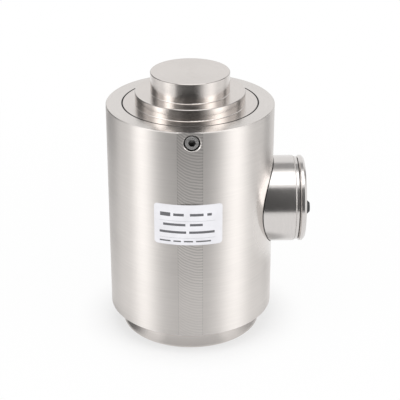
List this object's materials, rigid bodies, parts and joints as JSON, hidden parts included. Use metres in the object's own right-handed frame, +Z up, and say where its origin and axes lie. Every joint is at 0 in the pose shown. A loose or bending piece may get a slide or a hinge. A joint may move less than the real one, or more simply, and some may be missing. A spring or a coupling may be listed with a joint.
{
  "type": "column load cell",
  "caption": "Compression load cell: a stepped load button on a gauged steel column in a thick round housing, with a foot plate and a side terminal housing.",
  "frame": {"origin": "centre of the foot plate's underside, on the load axis", "axes": "+Z up along the load axis, through the load button; +X towards the terminal housing's cover and cable gland; -Y towards the milled flat, lock screw and label"},
  "size_m": [0.1233, 0.1001, 0.163],
  "materials": {
    "housing_steel": "fine-turned stainless steel, one milled flat with cutter marks",
    "element_steel": "fine-turned stainless steel with bright edges",
    "foot_steel": "turned stainless steel",
    "terminal_steel": "smooth-turned, nearly polished stainless steel",
    "screw_steel": "plain stainless screws and pins",
    "black_rubber": "matt moulded rubber",
    "black_nylon": "moulded nylon",
    "board_green": "lacquered circuit board",
    "pin_brass": "tinned brass",
    "resistor_blue": "lacquered resistor bodies",
    "gauge_film": "amber polyimide film with metal foil",
    "wire_red": "insulated wire",
    "wire_black": "insulated wire",
    "wire_green": "insulated wire",
    "wire_white": "insulated wire",
    "label_film": "white polyester film with plain grey printed bars"
  },
  "bodies": {
    "root": {"housing": "housing_steel", "spring_element": "element_steel", "base_plate": "foot_steel", "base_screws": "screw_steel", "base_dowel": "screw_steel", "base_seal": "black_rubber", "head_seal": "black_rubber", "lock_screw": "screw_steel", "lock_washer": "black_rubber", "terminal_housing": "terminal_steel", "cover_gasket": "black_rubber", "end_cover": "terminal_steel", "cover_screws": "screw_steel", "gland_body": "black_nylon", "gland_seal": "black_rubber", "gland_nut": "black_nylon", "terminal_board": "board_green", "board_standoffs": "pin_brass", "board_screws": "screw_steel", "terminal_pins": "pin_brass", "trim_resistors": "resistor_blue", "solder_tabs": "pin_brass", "bridge_wiring": "wire_red", "gauge_front": "gauge_film", "gauge_back": "gauge_film", "gauge_left": "gauge_film", "gauge_right": "gauge_film", "lead_red": "wire_red", "lead_black": "wire_black", "lead_green": "wire_green", "lead_white": "wire_white", "label": "label_film"}
  },
  "joints": []
}
